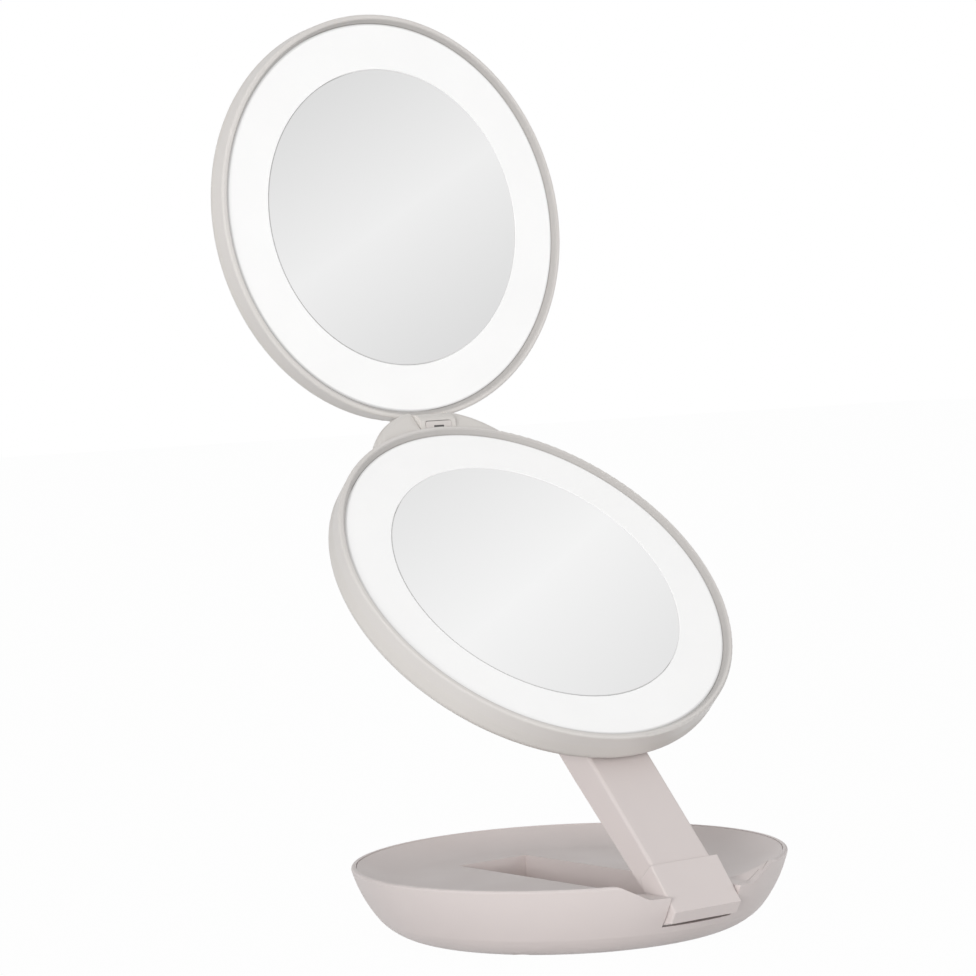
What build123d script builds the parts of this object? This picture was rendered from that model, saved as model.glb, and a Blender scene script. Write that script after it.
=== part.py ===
"""Lighted travel mirror: a round base with a folding arm, and two hinged ring-lit mirror heads.

The part stands on z = 0 with the centre of its base at x = y = 0. The user looks at it
from the -Y side. Lengths are millimetres and angles are degrees.
"""
import os
from math import asin, cos, degrees, radians, sin, sqrt

from build123d import *

# Base: a shallow round dish with a channel for the arm
BASE_R = 63.5
BASE_H = 21.0
BASE_FOOT_R = BASE_R - 20.5
BELLY_R = 17.5
BELLY_ANGLE = 48.0
SIDE_BULGE = (2.9, 8.2)
BASE_WALL = 2.2
CREST_ROUND = 0.7
RIM_WIDTH = 1.4
TRAY_R = BASE_R - RIM_WIDTH
TRAY_FLOOR_R = BASE_R - 17.5
TRAY_FLOOR_Z = 15.8
TRAY_WALL = 1.8
TRAY_EDGE_DROP = 0.25
CHANNEL_GAP = 0.35
CHANNEL_WALL = 1.8
FOOT_R = 3.5
FOOT_SINK = 0.8
FOOT_INSET = 5.0
FOOT_ANGLES = [60, 120, 240, 300]
# The rim is lowered beside the hinge block
RECESS_HALF = 19.0
RECESS_TOP_HALF = 28.0
RECESS_Z = 16.4
RECESS_ROUND = 3.5

# Arm: hinged at the front of the base, with a swivel joint at its far end
HINGE_Y = 8.5 - BASE_R
HINGE_Z = 12.0
HINGE_PIN_R = 1.5
HINGE_PIN_HALF = 16.5
HINGE_KNUCKLE_R = 4.0
RUNNING_GAP = 0.05
ARM_LENGTH = 81.7
ARM_HALF = 10.7
ARM_END = 9.8
ARM_TIP_ROUND = 6.0
ARM_WALL = 2.4
ARM_FOOT_FRONT = 5.2
ARM_FOOT_BACK = 2.6
ARM_TIP_BACK = 1.6
ARM_FACE_GAP = 3.6
ARM_BEND = 50.0
ARM_COVER = 1.6
ARM_PAD_R = 9.6
CAVITY_START = 16.0
CAVITY_FRONT = 3.1
BLOCK_HALF = 12.2
BLOCK_LENGTH = 10.7
BLOCK_TOP = 6.8
BLOCK_NOSE = (-4.6, 4.9)
BLOCK_UNDER = (-5.5, 1.0)
OPEN_ANGLE = 4.0

# Heads: two alike lighted mirrors
LOWER_TILT = 45.0
UPPER_TILT = 6.5
HEAD_R = 62.8
HEAD_DEPTH = 7.3
HEAD_WALL = 1.6
HEAD_FLOOR = 1.5
HEAD_BACK_ROUND = 2.8
RIM_PROUD = 1.35
RIM_LIP = 1.7
RIM_DEPTH = 3.0
RIM_SKIRT = 1.4
GUIDE_R = HEAD_R - 2.7
GUIDE_THICK = 2.2
GLASS_R = 45.7
GLASS_THICK = 1.8
GLASS_SAG = 1.7
GLASS_GAP = 0.2
PAD_THICK = 0.8
PAD_R = 16.0
SEAT_R = GLASS_R - 1.5
PLATE_THICK = 1.0
BOARD_THICK = 1.0
BOARD_GAP = 0.5
LED_COUNT = 16
LED_SIZE = (3.5, 2.8, 0.8)
STACK_GAP = 1.8

# Hinge between the heads, and the power button in its middle knuckle
HEAD_HINGE_OUT = 3.44
HEAD_HINGE_DROP = 3.18
FACE_GAP = 3.0
HEAD_PIN_R = 1.0
HEAD_PIN_HALF = 15.0
BRACKET_HALF = 6.5
BRACKET_R = 4.3
SLOT_GAP = 0.3
SLOT_CLEAR = 0.35
LUG_R = 30.0
LUG_TIP = HEAD_R + 10.1
LUG_FRONT = 0.6
LUG_ROUND = 2.8
BUTTON_WIDE = 9.4
BUTTON_HIGH = 3.2
BUTTON_THICK = 1.2
BUTTON_PROUD = 0.2
BUTTON_GAP = 0.2
BUTTON_FACE = 3.8
BUTTON_UP = 0.2
BUTTON_MARK = (3.6, 0.6)
SWITCH_SIZE = (6.0, 2.6)
SWITCH_THICK = 0.7
SWITCH_BACK = 1.6

# Swivel joint
POST_R = 5.0
POST_BOSS = 0.3
WASHER_R = 9.0
RETAINER_R = 7.4
RETAINER_THICK = 1.05
SCREW_R = 1.25
SCREW_HEAD_R = 2.8
SCREW_HEAD = 1.5
ARM_SCREWS = [26.0, 60.0]
ARM_SCREW_R = 0.9
ARM_SCREW_HEAD_R = 1.9
ARM_SCREW_HEAD = 0.8
ARM_BOSS_R = 2.6
WASHER_THICK = 0.35

# Batteries in the base
CELL_R = 5.25
CELL_LENGTH = 44.5
CELL_PITCH = 10.7
CELL_LIFT = 0.6
CELL_NUB = 0.9
CELL_NUB_R = 1.9
SPRING_LENGTH = 3.2
CONTACT_THICK = 0.4
CONTACT_SIZE = (8.0, 6.4)
COIL_WIRE = 0.3
COIL_R = 2.2
COIL_TURNS = 3
BAY_WALL = 1.5
BAY_GAP = 0.25
DOOR_THICK = 1.6
DOOR_GAP = 0.25
DOOR_TAB = 1.6
DOOR_TAB_WIDE = 8.0
DOOR_TAB_Y = 14.0

X_AXIS = Vector(1, 0, 0)


def up_direction(tilt):
    return Vector(0, sin(radians(tilt)), cos(radians(tilt)))


def face_direction(tilt):
    return Vector(0, -cos(radians(tilt)), sin(radians(tilt)))


def profile_plane(plane):
    """Plane through the axis of a turned piece: x is the radius and y the height."""
    return Plane(origin=plane.origin, x_dir=plane.x_dir, z_dir=-plane.y_dir)


def side_plane(origin, tilt):
    """Plane x = 0 with its x along the tilted piece and its y towards the user."""
    return Plane(origin=origin, x_dir=up_direction(tilt), z_dir=X_AXIS)


def spin_axis(plane):
    return Axis(plane.origin, plane.z_dir)


def export(part, name):
    part.label = name
    export_step(part, f"parts/{name}.step")


# Places that follow from the sizes above
HINGE_POINT = Vector(0, HINGE_Y, HINGE_Z)
HEAD_STANDOFF = BASE_H + STACK_GAP - HINGE_Z
SWIVEL_OFFSET = ARM_LENGTH + HINGE_Y
ARM_PAD_TOP = HEAD_STANDOFF - 0.4
ARM_FRONT = HEAD_STANDOFF - ARM_FACE_GAP
ARM_TIP = ARM_LENGTH + ARM_END
CHANNEL_HALF = BLOCK_HALF + CHANNEL_GAP
CHANNEL_FLOOR = HINGE_Z - ARM_FOOT_BACK - CHANNEL_GAP
CHANNEL_END = HINGE_Y + ARM_TIP + 1.0
NOTCH_FLOOR = HINGE_Z - HINGE_KNUCKLE_R - CHANNEL_GAP
LOWER_UP = up_direction(LOWER_TILT)
LOWER_FACE = face_direction(LOWER_TILT)
UPPER_UP = up_direction(UPPER_TILT)
UPPER_FACE = face_direction(UPPER_TILT)
LOWER_CENTRE = (HINGE_POINT + LOWER_UP * (ARM_LENGTH + SWIVEL_OFFSET)
                + LOWER_FACE * (HEAD_STANDOFF + HEAD_DEPTH))
HINGE_REACH = HEAD_R + HEAD_HINGE_OUT
UPPER_RISE = HEAD_HINGE_DROP + FACE_GAP
HEAD_HINGE = LOWER_CENTRE + LOWER_UP * HINGE_REACH - LOWER_FACE * HEAD_HINGE_DROP
UPPER_CENTRE = HEAD_HINGE + UPPER_UP * HINGE_REACH - UPPER_FACE * UPPER_RISE
LOWER = Plane(origin=LOWER_CENTRE, x_dir=X_AXIS, z_dir=LOWER_FACE)
UPPER = Plane(origin=UPPER_CENTRE, x_dir=X_AXIS, z_dir=UPPER_FACE)
ARM_SIDE = side_plane(HINGE_POINT, LOWER_TILT)
ARM_FACE = Plane(origin=HINGE_POINT, x_dir=X_AXIS, z_dir=LOWER_FACE)
SWIVEL = Plane(origin=HINGE_POINT + LOWER_UP * ARM_LENGTH, x_dir=X_AXIS, z_dir=LOWER_FACE)
HEADS = {"lower": (LOWER, GLASS_SAG), "upper": (UPPER, 0.0)}

os.makedirs("parts", exist_ok=True)


def around(radius, angles):
    """Places on a circle about the axis of the base."""
    return [(radius * cos(radians(angle)), radius * sin(radians(angle))) for angle in angles]


def base_outline(inset):
    """Side profile of the base, moved inwards by inset, closed along the axis."""
    with BuildLine() as outline:
        foot = Line((0, inset), (BASE_FOOT_R, inset))
        belly = CenterArc((BASE_FOOT_R, BELLY_R), BELLY_R - inset, -90, BELLY_ANGLE)
        side = ThreePointArc(
            belly @ 1,
            (BASE_R - SIDE_BULGE[0] - 0.92 * inset, BASE_H - SIDE_BULGE[1] + 0.4 * inset),
            (BASE_R - inset, BASE_H - CREST_ROUND),
        )
        crest = ThreePointArc(
            side @ 1,
            (BASE_R - inset - CREST_ROUND * (1 - sqrt(0.5)), BASE_H - CREST_ROUND * (1 - sqrt(0.5))),
            (BASE_R - inset - CREST_ROUND, BASE_H),
        )
        Line(crest @ 1, (0, BASE_H))
        Line((0, BASE_H), foot @ 0)
    return outline.line


def dish_outline(drop, radius):
    """Side profile of everything above the dish of the tray, lowered by drop."""
    span = TRAY_R - SEAM_GAP - TRAY_FLOOR_R
    rise = TRAY_EDGE_Z - TRAY_FLOOR_Z
    curve = (span ** 2 + rise ** 2) / (2 * rise)
    with BuildLine() as outline:
        slope = CenterArc((TRAY_FLOOR_R, TRAY_FLOOR_Z - drop + curve), curve, -90,
                          degrees(asin(span / curve)))
        Line(slope @ 1, (radius, TRAY_EDGE_Z - drop))
        Line((radius, TRAY_EDGE_Z - drop), (radius, BASE_H + 1))
        Line((radius, BASE_H + 1), (0, BASE_H + 1))
        Line((0, BASE_H + 1), (0, TRAY_FLOOR_Z - drop))
        Line((0, TRAY_FLOOR_Z - drop), slope @ 0)
    return outline.line


def base_solid(inset):
    with BuildPart() as solid:
        with BuildSketch(Plane.XZ):
            add(base_outline(inset))
            make_face()
        revolve(axis=Axis.Z)
    return solid.part


def dish_solid(drop, radius):
    with BuildPart() as solid:
        with BuildSketch(Plane.XZ):
            add(dish_outline(drop, radius))
            make_face()
        revolve(axis=Axis.Z)
    return solid.part


def swing_room():
    """Space that the folded lower head sweeps over the front of the base."""
    reach = HEAD_STANDOFF - 0.35
    low_angle = radians(LOWER_TILT - OPEN_ANGLE)
    out = Vector(-cos(low_angle), sin(low_angle))
    along = Vector(-sin(low_angle), -cos(low_angle))
    start = Vector(HINGE_Y, HINGE_Z) + out * reach
    middle_angle = (low_angle + radians(90)) / 2
    middle = Vector(HINGE_Y - reach * cos(middle_angle), HINGE_Z + reach * sin(middle_angle))
    end = start + along * 30
    with BuildPart() as room:
        with BuildSketch(Plane.YZ):
            with BuildLine():
                Line((HINGE_Y, BASE_H + 9), (HINGE_Y, HINGE_Z + reach))
                ThreePointArc((HINGE_Y, HINGE_Z + reach), middle, start)
                Line(start, end)
                Line(end, end + out * 30)
                Line(end + out * 30, (HINGE_Y, BASE_H + 9))
            make_face()
        extrude(amount=BASE_R, both=True)
    return room.part


def hinge_recess():
    """Soft dip of the rim on both sides of the hinge block."""
    top = BASE_H + 0.02
    with BuildPart() as recess:
        with BuildSketch(Plane.XZ.offset(-CHEEK_BACK - 2)) as shape:
            with BuildLine():
                Polyline((-RECESS_TOP_HALF - 12, top), (-RECESS_TOP_HALF, top), (-RECESS_HALF, RECESS_Z),
                         (RECESS_HALF, RECESS_Z), (RECESS_TOP_HALF, top), (RECESS_TOP_HALF + 12, top),
                         (RECESS_TOP_HALF + 12, top + 2), (-RECESS_TOP_HALF - 12, top + 2), close=True)
            make_face()
            bends = shape.vertices().filter_by(
                lambda corner: abs(corner.X) < RECESS_TOP_HALF + 1)
            fillet(bends, RECESS_ROUND)
        extrude(amount=BASE_R)
    return recess.part


SEAM_GAP = 0.15
TRAY_EDGE_Z = BASE_H - TRAY_EDGE_DROP
LEDGE_Z = TRAY_EDGE_Z - TRAY_WALL
CHEEK_HALF = 26.0
CHEEK_BACK = HINGE_Y + 11.0
BASE_BODY = base_solid(0)
BASE_HOLLOW = base_solid(BASE_WALL)
DISH = dish_solid(0, TRAY_R)
DISH_UNDER = dish_solid(TRAY_WALL, BASE_R)
SWING_ROOM = swing_room()
HINGE_RECESS = hinge_recess()

# As many cells as fit side by side between the channel and the side of the base
CELL_Z = BASE_WALL + CELL_LIFT + CELL_R
BAY_HALF = (CELL_LENGTH + SPRING_LENGTH) / 2 + CONTACT_THICK
BAY_LEFT = CHANNEL_HALF + CHANNEL_WALL + BAY_GAP
CELL_COUNT = int((sqrt((BASE_R - 9) ** 2 - BAY_HALF ** 2) - BAY_LEFT) / CELL_PITCH)
CELL_X = [BAY_LEFT + CELL_R + CELL_PITCH * index for index in range(CELL_COUNT)]
BAY_RIGHT = CELL_X[-1] + CELL_R
BAY_WALL_TOP = CELL_Z + 2.5
DOOR_HALF = BAY_HALF - 0.4
FOOT_PLACES = around(BASE_FOOT_R - FOOT_INSET, FOOT_ANGLES)
SHELL_SCREWS = around(BASE_R - 16.5, [62, 114, 146, 214])
SHELL_SCREW_R = 1.2
SHELL_BOSS_R = 3.2
PILLAR_GAP = 0.1
PILLAR_TOP = TRAY_FLOOR_Z - TRAY_WALL
PILLAR_FOOT = BASE_WALL + 3.0
SHELL_SCREW_HEAD_R = 2.3
SHELL_SCREW_SEAT = 1.6
SHELL_SCREW_LENGTH = 9.0
CHEEK_FLOOR = BASE_WALL + 1.0
CATCH_SIZE = 1.2
CATCH_Y = -20.0

# Lower casing of the base: its thin rim stands round the ledge that the tray lies on
with BuildPart() as base_shell:
    add(BASE_BODY)
    add(BASE_HOLLOW, mode=Mode.SUBTRACT)
    with BuildSketch(Plane.XY.offset(LEDGE_Z)):
        Circle(TRAY_R)
    extrude(amount=BASE_H, mode=Mode.SUBTRACT)
    # End walls of the battery bay
    with BuildSketch(Plane.XY.offset(1.0)):
        with Locations((0.5 * (BAY_LEFT + BAY_RIGHT), BAY_HALF + BAY_WALL / 2),
                       (0.5 * (BAY_LEFT + BAY_RIGHT), -BAY_HALF - BAY_WALL / 2)):
            Rectangle(BAY_RIGHT - BAY_LEFT - 4.0, BAY_WALL)
    extrude(amount=BAY_WALL_TOP - 1.0)
    # Screw bosses
    with BuildSketch(Plane.XY.offset(0.5)):
        with Locations(*SHELL_SCREWS):
            Circle(SHELL_BOSS_R)
    extrude(amount=PILLAR_FOOT - 0.5)
    add(BASE_BODY, mode=Mode.INTERSECT)
    with BuildSketch(Plane.XY):
        with Locations(*SHELL_SCREWS):
            Circle(SHELL_SCREW_R + 0.15)
    extrude(amount=BASE_H, mode=Mode.SUBTRACT)
    with BuildSketch(Plane.XY):
        with Locations(*SHELL_SCREWS):
            Circle(SHELL_SCREW_HEAD_R + 0.15)
    extrude(amount=PILLAR_FOOT - SHELL_SCREW_SEAT, mode=Mode.SUBTRACT)
    # Battery opening, foot recesses, arm notch and swing room
    with BuildSketch(Plane.XY):
        with Locations((0.5 * (BAY_LEFT + BAY_RIGHT), 0)):
            Rectangle(BAY_RIGHT - BAY_LEFT, 2 * DOOR_HALF)
    extrude(amount=BAY_WALL_TOP, mode=Mode.SUBTRACT)
    with BuildSketch(Plane.XY):
        with Locations(*FOOT_PLACES):
            Circle(FOOT_R)
    extrude(amount=FOOT_SINK, mode=Mode.SUBTRACT)
    with BuildSketch(Plane.XY.offset(NOTCH_FLOOR)):
        with Locations((0, HINGE_Y - 4)):
            Rectangle(2 * CHANNEL_HALF, 22)
    extrude(amount=BASE_H, mode=Mode.SUBTRACT)
    add(SWING_ROOM, mode=Mode.SUBTRACT)
    add(HINGE_RECESS, mode=Mode.SUBTRACT)
    with BuildSketch(Plane(origin=HINGE_POINT, z_dir=X_AXIS)):
        Circle(HINGE_PIN_R + PILLAR_GAP)
    extrude(amount=HINGE_PIN_HALF + PILLAR_GAP, both=True, mode=Mode.SUBTRACT)
export(base_shell.part, "base_shell")

# What is hollow under the tray: everything but its channel, hinge cheeks and screw pillars
with BuildPart() as tray_under:
    with BuildSketch(Plane.XY):
        Circle(BASE_R)
    extrude(amount=BASE_H)
    add(DISH_UNDER, mode=Mode.SUBTRACT)
    trough_front = HINGE_Y - 10
    trough_back = CHANNEL_END + CHANNEL_WALL
    with BuildSketch(Plane.XY.offset(CHANNEL_FLOOR - CHANNEL_WALL)):
        with Locations((0, 0.5 * (trough_front + trough_back))):
            Rectangle(2 * (CHANNEL_HALF + CHANNEL_WALL), trough_back - trough_front)
    extrude(amount=BASE_H, mode=Mode.SUBTRACT)
    with BuildSketch(Plane.XY.offset(CHEEK_FLOOR)):
        with Locations((0, CHEEK_BACK - 15)):
            Rectangle(2 * CHEEK_HALF, 30)
    extrude(amount=BASE_H, mode=Mode.SUBTRACT)
    with BuildSketch(Plane.XY.offset(PILLAR_FOOT)):
        with Locations(*SHELL_SCREWS):
            Circle(SHELL_BOSS_R)
    extrude(amount=BASE_H, mode=Mode.SUBTRACT)

# Upper casing of the base: the dish, the channel for the arm and the hinge cheeks
with BuildPart() as base_tray:
    add(base_solid(BASE_WALL + SEAM_GAP))
    with BuildSketch(Plane.XY.offset(LEDGE_Z)):
        Circle(TRAY_R - SEAM_GAP)
    extrude(amount=BASE_H - LEDGE_Z)
    add(DISH, mode=Mode.SUBTRACT)
    add(tray_under.part, mode=Mode.SUBTRACT)
    with BuildSketch(Plane.XY.offset(CHANNEL_FLOOR)):
        with Locations((0, 0.5 * (HINGE_Y + CHANNEL_END))):
            Rectangle(2 * CHANNEL_HALF, CHANNEL_END - HINGE_Y)
    extrude(amount=BASE_H, mode=Mode.SUBTRACT)
    with BuildSketch(Plane.XY.offset(NOTCH_FLOOR)):
        with Locations((0, HINGE_Y - 4)):
            Rectangle(2 * CHANNEL_HALF, 22)
    extrude(amount=BASE_H, mode=Mode.SUBTRACT)
    with BuildSketch(Plane(origin=HINGE_POINT, z_dir=X_AXIS)):
        Circle(HINGE_PIN_R)
    extrude(amount=HINGE_PIN_HALF, both=True, mode=Mode.SUBTRACT)
    with BuildSketch(Plane.XY.offset(PILLAR_FOOT)):
        with Locations(*SHELL_SCREWS):
            Circle(SHELL_SCREW_R)
    extrude(amount=SHELL_SCREW_LENGTH - SHELL_SCREW_SEAT, mode=Mode.SUBTRACT)
    # Catch on the wall of the channel
    with BuildSketch(Plane.XY.offset(TRAY_FLOOR_Z - 2.0)):
        with Locations((-CHANNEL_HALF + CATCH_SIZE / 2, CATCH_Y)):
            Rectangle(CATCH_SIZE, 2 * CATCH_SIZE)
    extrude(amount=1.4)
    add(SWING_ROOM, mode=Mode.SUBTRACT)
    add(HINGE_RECESS, mode=Mode.SUBTRACT)
export(base_tray.part, "base_tray")

# Battery door: the piece of the base's floor that fills the opening. Its rounded inner
# edge rolls in the opening's edge, under two tabs.
DOOR_LEFT = BAY_LEFT + DOOR_GAP
DOOR_INNER = BASE_WALL
DOOR_EDGE_R = DOOR_THICK / 2
DOOR_AXIS = Vector(DOOR_LEFT + DOOR_EDGE_R, 0, DOOR_EDGE_R)
with BuildPart() as battery_door:
    add(BASE_BODY)
    add(base_solid(DOOR_THICK), mode=Mode.SUBTRACT)
    with BuildSketch(Plane.XY):
        with Locations((0.5 * (BAY_LEFT + BAY_RIGHT), 0)):
            Rectangle(BAY_RIGHT - BAY_LEFT - 2 * DOOR_GAP, 2 * (DOOR_HALF - DOOR_GAP))
    extrude(amount=BASE_H, mode=Mode.INTERSECT)
    with BuildSketch(Plane.XY):
        with Locations((DOOR_LEFT, 0)):
            Rectangle(2 * DOOR_EDGE_R, 2 * DOOR_HALF)
    extrude(amount=DOOR_THICK, mode=Mode.SUBTRACT)
    with BuildSketch(Plane(origin=DOOR_AXIS, z_dir=(0, 1, 0))):
        Circle(DOOR_EDGE_R)
    extrude(amount=DOOR_HALF - DOOR_GAP, both=True)
    # Tabs that hook over the floor at the inner edge
    with BuildSketch(Plane.XY.offset(DOOR_EDGE_R)):
        with Locations((DOOR_AXIS.X + 0.4, DOOR_TAB_Y), (DOOR_AXIS.X + 0.4, -DOOR_TAB_Y)):
            Rectangle(1.6, DOOR_TAB_WIDE)
    extrude(amount=DOOR_INNER + 1.2 - DOOR_EDGE_R)
    with BuildSketch(Plane.XY.offset(DOOR_INNER + 0.2)):
        with Locations((DOOR_LEFT, DOOR_TAB_Y), (DOOR_LEFT, -DOOR_TAB_Y)):
            Rectangle(2 * DOOR_TAB, DOOR_TAB_WIDE)
    extrude(amount=1.0)
    # Finger grooves
    with BuildSketch(Plane.XY):
        with Locations((BAY_RIGHT - 12, 0), (BAY_RIGHT - 14.5, 0), (BAY_RIGHT - 17, 0)):
            SlotOverall(14, 1.2, rotation=90)
    extrude(amount=0.5, mode=Mode.SUBTRACT)
export(battery_door.part, "battery_door")

# Three cells, laid in turn nose to tail, with a leaf and a coil contact for each
CELL_START = -BAY_HALF + CONTACT_THICK + SPRING_LENGTH
for index, place in enumerate(CELL_X):
    way = 1 if index % 2 == 0 else -1
    foot_plane = Plane(origin=(place, way * CELL_START, CELL_Z), x_dir=X_AXIS, z_dir=(0, way, 0))
    with BuildPart() as battery_cell:
        with BuildSketch(foot_plane):
            Circle(CELL_R)
        extrude(amount=CELL_LENGTH - CELL_NUB)
        fillet(battery_cell.edges().filter_by(GeomType.CIRCLE), 0.4)
        with BuildSketch(foot_plane.offset(CELL_LENGTH - CELL_NUB)):
            Circle(CELL_NUB_R)
        extrude(amount=CELL_NUB)
    export(battery_cell.part, f"battery_cell_{index + 1}")

with BuildPart() as battery_contacts:
    for index, place in enumerate(CELL_X):
        for end in (-1, 1):
            with BuildSketch(Plane(origin=(place, end * BAY_HALF, CELL_Z), x_dir=X_AXIS,
                                   z_dir=(0, -end, 0))):
                RectangleRounded(*CONTACT_SIZE, 1.0)
            extrude(amount=CONTACT_THICK)
export(battery_contacts.part, "battery_contacts")

with BuildPart() as battery_springs:
    for index, place in enumerate(CELL_X):
        way = 1 if index % 2 == 0 else -1
        seat = Plane(origin=(place, -way * (BAY_HALF - CONTACT_THICK), CELL_Z), x_dir=X_AXIS,
                     z_dir=(0, way, 0))
        height = SPRING_LENGTH - 2 * COIL_WIRE
        with BuildLine(seat.offset(COIL_WIRE)):
            coil = Helix(pitch=height / COIL_TURNS, height=height, radius=COIL_R,
                         direction=(0, way, 0))
        with BuildSketch(Plane(origin=coil @ 0, z_dir=coil % 0)):
            Circle(COIL_WIRE)
        sweep(path=coil, is_frenet=True)
export(battery_springs.part, "battery_springs")

with BuildPart() as base_feet:
    with BuildSketch(Plane.XY):
        with Locations(*FOOT_PLACES):
            Circle(FOOT_R - 0.1)
    extrude(amount=FOOT_SINK)
export(base_feet.part, "base_feet")

with BuildPart() as base_screws:
    with BuildSketch(Plane.XY.offset(PILLAR_FOOT - SHELL_SCREW_SEAT - 1.6)):
        with Locations(*SHELL_SCREWS):
            Circle(SHELL_SCREW_HEAD_R)
    extrude(amount=1.6)
    with BuildSketch(Plane.XY.offset(PILLAR_FOOT - SHELL_SCREW_SEAT)):
        with Locations(*SHELL_SCREWS):
            Circle(SHELL_SCREW_R)
    extrude(amount=SHELL_SCREW_LENGTH)
export(base_screws.part, "base_screws")

with BuildPart() as arm_hinge_pin:
    with BuildSketch(Plane(origin=HINGE_POINT, z_dir=X_AXIS)):
        Circle(HINGE_PIN_R)
    extrude(amount=HINGE_PIN_HALF, both=True)
export(arm_hinge_pin.part, "arm_hinge_pin")

# Arm: a channel-shaped front shell with the broad hinge block at its foot
COVER_HALF = ARM_HALF - 1.7


def arm_back(along):
    """Height of the arm's back face at a distance from the hinge."""
    if along < ARM_BEND:
        return -ARM_FOOT_BACK
    return -ARM_FOOT_BACK + (ARM_FOOT_BACK - ARM_TIP_BACK) * (along - ARM_BEND) / (ARM_TIP - ARM_BEND)


with BuildPart() as arm_front_shell:
    with BuildSketch(ARM_SIDE):
        with BuildLine():
            Polyline((0, ARM_FOOT_FRONT), (ARM_BEND, ARM_FRONT), (ARM_TIP, ARM_FRONT),
                     (ARM_TIP, -ARM_TIP_BACK), (ARM_BEND, -ARM_FOOT_BACK), (0, -ARM_FOOT_BACK),
                     close=True)
        make_face()
    extrude(amount=ARM_HALF, both=True)
    tip_edges = arm_front_shell.edges().filter_by(
        lambda edge: abs((edge % 0.5).dot(LOWER_FACE)) > 0.99).group_by(Axis.Z)[-1]
    fillet(tip_edges, ARM_TIP_ROUND)
    long_edges = arm_front_shell.edges().filter_by(
        lambda edge: (edge.center() - HINGE_POINT).dot(LOWER_FACE) > ARM_FOOT_FRONT - 0.1
        and abs(edge.center().X) > ARM_HALF - 0.1)
    fillet(long_edges, 1.0)
    # Raised pad round the swivel post, which the washer lies on
    with BuildSketch(SWIVEL.offset(ARM_FRONT - 0.5)):
        Circle(ARM_PAD_R)
    extrude(amount=ARM_PAD_TOP - ARM_FRONT + 0.5)
    # Hinge block
    with BuildSketch(ARM_SIDE):
        with BuildLine():
            Polyline(BLOCK_NOSE, (BLOCK_LENGTH, BLOCK_TOP), (BLOCK_LENGTH + 0.6, BLOCK_TOP - 0.9),
                     (BLOCK_LENGTH + 0.6, 0), (5.5, -ARM_FOOT_BACK), (0, -HINGE_KNUCKLE_R),
                     (-2.9, -2.9), BLOCK_UNDER, close=True)
        make_face()
    extrude(amount=BLOCK_HALF, both=True)
    block_edges = arm_front_shell.edges().filter_by(
        lambda edge: abs(edge.center().X) > BLOCK_HALF - 0.1).filter_by(GeomType.LINE)
    fillet(block_edges, 0.6)
    # Cavity, open at the back
    with BuildSketch(ARM_SIDE):
        with BuildLine():
            Polyline((CAVITY_START, -5), (ARM_TIP - 1.8, -5), (ARM_TIP - 1.8, ARM_FRONT - ARM_WALL),
                     (ARM_BEND, ARM_FRONT - ARM_WALL), (CAVITY_START, CAVITY_FRONT), close=True)
        make_face()
    extrude(amount=COVER_HALF, both=True, mode=Mode.SUBTRACT)
    # Bores for the hinge pin and the swivel post
    with BuildSketch(Plane(origin=HINGE_POINT, z_dir=X_AXIS)):
        Circle(HINGE_PIN_R + RUNNING_GAP)
    extrude(amount=BLOCK_HALF + 1, both=True, mode=Mode.SUBTRACT)
    with BuildSketch(SWIVEL.offset(ARM_FRONT - ARM_WALL - 1)):
        Circle(POST_R + RUNNING_GAP)
    extrude(amount=ARM_WALL + 1 + ARM_FACE_GAP, mode=Mode.SUBTRACT)
    # Screw bosses for the back cover
    for along in ARM_SCREWS:
        place = ARM_FACE.shift_origin(HINGE_POINT + LOWER_UP * along)
        with BuildSketch(place.offset(arm_back(along + ARM_BOSS_R) + ARM_COVER + 0.05)):
            Circle(ARM_BOSS_R)
        extrude(until=Until.NEXT)
        with BuildSketch(place.offset(arm_back(along) + ARM_COVER)):
            Circle(ARM_SCREW_R)
        extrude(amount=4.0, mode=Mode.SUBTRACT)
export(arm_front_shell.part, "arm_front_shell")

with BuildPart() as arm_back_cover:
    start = CAVITY_START + 0.15
    end = ARM_TIP - 1.95
    with BuildSketch(ARM_SIDE):
        with BuildLine():
            Polyline((start, -ARM_FOOT_BACK), (ARM_BEND, -ARM_FOOT_BACK), (end, arm_back(end)),
                     (end, arm_back(end) + ARM_COVER), (ARM_BEND, ARM_COVER - ARM_FOOT_BACK),
                     (start, ARM_COVER - ARM_FOOT_BACK), close=True)
        make_face()
    extrude(amount=COVER_HALF - 0.1, both=True)
    tip_edges = arm_back_cover.edges().filter_by(
        lambda edge: abs((edge % 0.5).dot(LOWER_FACE)) > 0.99).group_by(Axis.Z)[-1]
    fillet(tip_edges, ARM_TIP_ROUND - 1.8)
    for along in ARM_SCREWS:
        place = ARM_FACE.shift_origin(HINGE_POINT + LOWER_UP * along)
        with BuildSketch(place.offset(arm_back(along) - 1)):
            Circle(ARM_SCREW_R + 0.1)
        extrude(amount=ARM_COVER + 2, mode=Mode.SUBTRACT)
        with BuildSketch(place.offset(arm_back(along) - 1)):
            Circle(ARM_SCREW_HEAD_R + 0.1)
        extrude(amount=1 + ARM_SCREW_HEAD, mode=Mode.SUBTRACT)
export(arm_back_cover.part, "arm_back_cover")

with BuildPart() as arm_screws:
    for along in ARM_SCREWS:
        place = ARM_FACE.shift_origin(HINGE_POINT + LOWER_UP * along)
        with BuildSketch(place.offset(arm_back(along) + 0.1)):
            Circle(ARM_SCREW_HEAD_R)
        extrude(amount=ARM_SCREW_HEAD - 0.1)
        with BuildSketch(place.offset(arm_back(along) + ARM_SCREW_HEAD)):
            Circle(ARM_SCREW_R)
        extrude(amount=4.0)
export(arm_screws.part, "arm_screws")

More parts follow.
